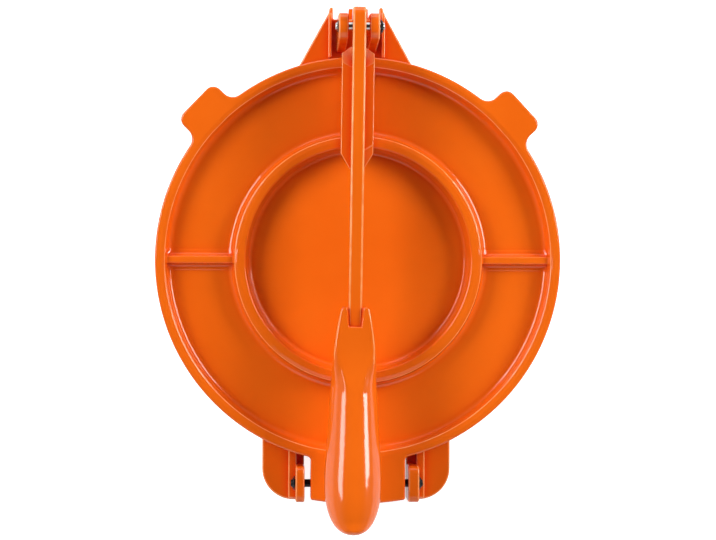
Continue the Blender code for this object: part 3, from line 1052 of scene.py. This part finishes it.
def front_bracket():
    """The front prongs: a floor, two tall lugs for the lever's pin and two thin webs."""
    root_y = plate_radius - prong_root_depth
    tip_y = pivot.y + prong_tip
    slot_y = pivot.y + lug_front
    inner = lug_inner - contact_gap
    half = [(inner, root_y), (prong_root_half, root_y), (web_outer, tip_y - lug_foot)]
    half += [((web_outer + web_inner) / 2, tip_y), (prong_slot_inner, tip_y), (prong_slot_inner, slot_y)]
    half += [(inner, slot_y)]
    shift = front_middle
    outline = [(shift + x, y) for x, y in half + [(-x, y) for x, y in reversed(half)]]
    floor = cast(slab("prongs", outline, flange_low, prong_top))
    left, right = shift + nose_shift - inner, shift + nose_shift + inner
    nose_y = pivot.y + prong_nose
    nose = [(left, root_y), (right, root_y), (right, nose_y), (left, nose_y)]
    tools = [new_object(slab("nose", nose, flange_low, prong_nose_top))]
    for side in (-1, 1):
        foot = prong_top - cast_round
        outline = [(plate_radius + lug_foot, foot), (slot_y, foot)]
        for y, z in arc((pivot.y, 0), lug_round_radius, 0, 170, lug_steps):
            outline.append((y, pivot.z + z * lug_crown / lug_round_radius))
        low, high = sorted((shift + side * lug_inner, shift + side * lug_outer))
        tools.append(cast(slab("lug", outline, low, high, "X")))
        start = plate_radius + contact_gap
        end = tip_y - lug_foot
        low, high = sorted((shift + side * web_inner, shift + side * web_outer))
        outline = [(start, foot), (end, foot), (end, web_top - lug_foot)]
        outline += arc((end - lug_foot, web_top - lug_foot), lug_foot, 0, 90, small_steps)
        outline += [(start, web_top)]
        tools.append(cast(slab("web", outline, low, high, "X"), web_round))
    for tool in tools:
        boolean(floor, tool, "UNION")
    return settle(floor, tools)


def rear_bracket(side):
    """One rear flange with the step and the round lug of the plate hinge."""
    rear_y = hinge.y - hinge_lug_radius
    root_y = -(plate_radius - rear_flange_overlap)
    corner = (rear_flange_half - rear_flange_corner, rear_y + rear_flange_corner)
    lug_inner_side = hinge_lug_inner - (right_lug_extra if side > 0 else 0)
    outline = [(lug_inner_side, root_y), (lug_inner_side, rear_y)]
    outline += arc(corner, rear_flange_corner, 270, 360, lug_steps) + [(rear_flange_half, root_y)]
    plan = [(side * x, y) for x, y in outline]
    flange = cast(slab("flange", plan, flange_low, rear_flange_top))
    foot = rear_flange_top - cast_round
    step_y = -(plate_radius - skirt_width)
    inner = hinge_lug_outer - cast_round
    outline = [(inner, step_y), (inner, rear_y + edge_round)]
    outline += [(hinge_step_outer, rear_y + edge_round), (hinge_step_outer, step_y)]
    step = cast(slab("step", [(side * x, y) for x, y in outline], foot, hinge_step_top))
    outline = [(rear_y, foot), (hinge.y + hinge_lug_radius, foot)]
    for y, z in arc((0, 0), 1, 0, 180, wide_steps):
        outline.append((hinge.y + hinge_lug_radius * bent(y, hinge_lug_power),
                        hinge.z + hinge_lug_radius * bent(z, hinge_lug_power)))
    low, high = sorted((side * lug_inner_side, side * hinge_lug_outer))
    lug = cast(slab("hinge_lug", outline, low, high, "X"))
    for tool in (step, lug):
        boolean(flange, tool, "UNION")
    return settle(flange, (step, lug))


def axis_of(low, high):
    """The place of an axis along X in the middle of a box."""
    return (low.y + high.y) / 2, (low.z + high.z) / 2


def pin_hole(middle, half, low, high):
    """A cutter for the hole of a pin, from the pin's own box."""
    y, z = axis_of(low, high)
    radius = pin_hole_share * (high.z - low.z) / 2
    return new_object(rod("pin_hole", radius, middle - half, middle + half, y, z, contact_gap))


def build_base():
    """The lower casting."""
    base = base_disc()
    tools = base_ribs() + [front_bracket(), rear_bracket(-1), rear_bracket(1)]
    for tool in tools:
        boolean(base, tool, "UNION")
    holes = [pin_hole(front_middle, web_inner - contact_gap, pin_low, pin_high),
             pin_hole(0, hinge_lug_outer + cast_round, hinge_pin_low, hinge_pin_high)]
    for hole in holes:
        boolean(base, hole, "DIFFERENCE")
    return settle(base, tools + holes)


def turned_pin(name, look):
    """A pin turned from bar, with domed ends and a groove under each push-on clip, from the pin's box."""
    low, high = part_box(name)
    y, z = axis_of(low, high)
    radius = (high.z - low.z) / 2
    half = (high.x - low.x) / 2
    dome = pin_dome_share * radius
    groove = half - groove_inset - groove_width
    side = [(groove, radius), (groove, radius - groove_depth)]
    side += [(half - groove_inset, radius - groove_depth), (half - groove_inset, radius)]
    side += arc((half - dome, radius - dome), dome, 90, 10, dome_steps)
    outline = [(-x, r) for x, r in reversed(side)] + side
    middle = (low.x + high.x) / 2
    rows = [ring(middle + x, y, z, r) for x, r in outline]
    tips = [(middle + end * half, y, z) for end in (-1, 1)]
    return new_object(skin(name + "_turned", rows, *tips), [look])


def push_clip(name, pin_name, outwards, look):
    """A push-on clip: a flat sheet rim and, inside it, teeth that bend out to grip the pin."""
    low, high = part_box(name)
    pin_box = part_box(pin_name)
    y, z = axis_of(low, high)
    outer = (high.z - low.z) / 2
    inner = (pin_box[1].z - pin_box[0].z) / 2 + clip_play
    bend = inner + (outer - inner) * clip_bend_share
    depth = high.x - low.x
    start = low.x if outwards > 0 else high.x
    loop = ((0, outer - clip_edge), (clip_edge, outer), (clip_sheet - clip_edge, outer),
            (clip_sheet, outer - clip_edge), (clip_sheet, bend + clip_edge), (depth, inner + clip_edge),
            (depth, inner), (depth - clip_sheet, inner), (0, bend))
    points = []
    faces = []
    for row, (across, radius) in enumerate(loop):
        below = row * clip_facets
        above = (row + 1) % len(loop) * clip_facets
        for column in range(clip_facets):
            turn = math.tau * column / clip_facets
            gap = (turn * clip_teeth / math.tau) % 1 < clip_gap_share
            reach = max(radius, bend - clip_edge) if gap else radius
            points.append((start + outwards * across,
                           y + reach * math.cos(turn), z + reach * math.sin(turn)))
            after = (column + 1) % clip_facets
            faces.append((below + column, below + after, above + after, above + column))
    return new_object(mesh_from(name + "_sheet", points, faces), [look])


def dress(piece, slot, body, *nodes):
    """Smooths a piece, gives it its body and lets it stand for its nodes. The slot is not used."""
    smooth(piece)
    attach(piece, body)
    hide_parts(*nodes)


dress(build_upper_plate(), "orange_enamel", "plate", "upper_plate")
dress(build_lever(), "orange_enamel", "arm", "lever")
dress(build_base(), "orange_enamel", "base", "base_plate")
dress(turned_pin("lever_pin", steel), "pin_steel", "base", "lever_pin")
dress(turned_pin("hinge_pin", black), "black_steel", "base", "hinge_pin")
for pin_name in ("lever_pin", "hinge_pin"):
    for word, outwards in (("left", -1), ("right", 1)):
        clip_name = f"{pin_name}_clip_{word}"
        dress(push_clip(clip_name, pin_name, outwards, black), "black_steel", "base", clip_name)


# Floor, light and camera. The sky's levels go with the height of the direction looked in.

floor_half = 6.0
floor_low = -0.01
floor_high = -0.0002
floor_color = (0.86, 0.86, 0.86, 1.0)
floor_roughness = 0.9
floor_specular = 0.1
sky_levels = ((0.0, 0.4), (0.35, 0.4), (0.50, 0.3), (0.64, 0.14), (0.77, 0.07), (0.90, 0.03), (1.0, 0.03))
sky_lean = (-0.20, 0.45)
camera_glow = 0.5
mirrored_glow = 0.35
# Name, azimuth and height in degrees, distance, width, length and power in watts.
softboxes = (
    ("softbox_left", 158, 34, 1.15, 0.75, 0.40, 9.2),
    ("softbox_right", 22, 28, 1.15, 0.62, 0.36, 10.6),
    ("softbox_front", 95, 14, 1.15, 0.80, 0.30, 1.8),
    ("softbox_rear", 268, 35, 1.15, 1.10, 1.00, 3.2),
)
camera_place = Vector((-0.0480, 0.0018, 1.126))
camera_aim = Vector((-0.0002, -0.0050, 0.026))
camera_roll = 0.0039
focal_pixels = 2205.8
image_width = 716
near_clip = 0.01


def white_floor():
    """A wide pale floor that is white from above and keeps a soft shadow."""
    outline = [(-floor_half, -floor_half), (floor_half, -floor_half),
               (floor_half, floor_half), (-floor_half, floor_half)]
    mesh = slab("floor", outline, floor_low, floor_high)
    floor = new_object(mesh, ())
    material, link, shader, add = nodes_of("floor_white")
    shader.inputs["Base Color"].default_value = floor_color
    shader.inputs["Roughness"].default_value = floor_roughness
    shader.inputs["Specular IOR Level"].default_value = floor_specular
    path = add("ShaderNodeLightPath")
    seen = path.outputs["Is Camera Ray"]
    for kind in ("Is Glossy Ray", "Is Transmission Ray"):
        either = add("ShaderNodeMath", operation="MAXIMUM")
        link(seen, either.inputs[0])
        link(path.outputs[kind], either.inputs[1])
        seen = either.outputs["Value"]
    direct = add("ShaderNodeMath", operation="MULTIPLY")
    direct.inputs[1].default_value = camera_glow
    link(path.outputs["Is Camera Ray"], direct.inputs[0])
    glow = add("ShaderNodeMath", operation="MULTIPLY_ADD")
    glow.inputs[1].default_value = mirrored_glow
    link(seen, glow.inputs[0])
    link(direct.outputs["Value"], glow.inputs[2])
    link(glow.outputs["Value"], shader.inputs["Emission Strength"])
    shader.inputs["Emission Color"].default_value = (1.0, 1.0, 1.0, 1.0)
    mesh.materials.append(material)


def sky():
    """A soft sky: pale near the horizon and dark overhead, as under a studio ceiling."""
    world = bpy.data.worlds.new("studio")
    bpy.context.scene.world = world
    world.use_nodes = True
    tree = world.node_tree
    link = tree.links.new
    add = adder(tree)
    background = tree.nodes["Background"]
    place = add("ShaderNodeTexCoord")
    split = add("ShaderNodeSeparateXYZ")
    link(place.outputs["Generated"], split.inputs["Vector"])
    ramp = add("ShaderNodeValToRGB")
    stops = ramp.color_ramp.elements
    while len(stops) < len(sky_levels):
        stops.new(1.0)
    for stop, (height, level) in zip(stops, sky_levels):
        stop.position = height
        stop.color = (level, level, level, 1.0)
    link(split.outputs["Z"], ramp.inputs["Fac"])
    link(ramp.outputs["Color"], background.inputs["Color"])
    lean = add("ShaderNodeVectorMath", operation="DOT_PRODUCT")
    lean.inputs[1].default_value = (*sky_lean, 0.0)
    link(place.outputs["Generated"], lean.inputs[0])
    level = add("ShaderNodeMath", operation="ADD")
    level.inputs[1].default_value = 1.0
    link(lean.outputs["Value"], level.inputs[0])
    link(level.outputs["Value"], background.inputs["Strength"])


def softbox(name, azimuth, height, distance, width, length, power):
    """A rectangular soft light that faces the plate from an azimuth and a height in degrees."""
    aim = Vector((0, 0, rim_top))
    turn, rise = math.radians(azimuth), math.radians(height)
    direction = Vector((math.cos(turn) * math.cos(rise), math.sin(turn) * math.cos(rise), math.sin(rise)))
    place = aim + direction * distance
    data = bpy.data.lights.new(name, "AREA")
    data.shape = "RECTANGLE"
    data.size = width
    data.size_y = length
    data.energy = power
    lamp = bpy.data.objects.new(name, data)
    bpy.context.scene.collection.objects.link(lamp)
    lamp.location = place
    lamp.rotation_euler = (aim - place).to_track_quat("-Z", "Y").to_euler()


def camera():
    """The photograph's camera: a little to the left of the middle, 1.1 m over the rim."""
    data = bpy.data.cameras.new("camera")
    data.lens = data.sensor_width * focal_pixels / image_width
    data.clip_start = near_clip
    forward = (camera_aim - camera_place).normalized()
    upward = Vector((-math.sin(camera_roll), math.cos(camera_roll), 0))
    right = forward.cross(upward).normalized()
    up = right.cross(forward)
    turn = Matrix((right, up, -forward)).transposed().to_4x4()
    eye = bpy.data.objects.new("camera", data)
    bpy.context.scene.collection.objects.link(eye)
    eye.matrix_world = Matrix.Translation(camera_place) @ turn
    bpy.context.scene.camera = eye


white_floor()
sky()
for values in softboxes:
    softbox(*values)
camera()
bpy.context.scene.view_settings.view_transform = "Standard"
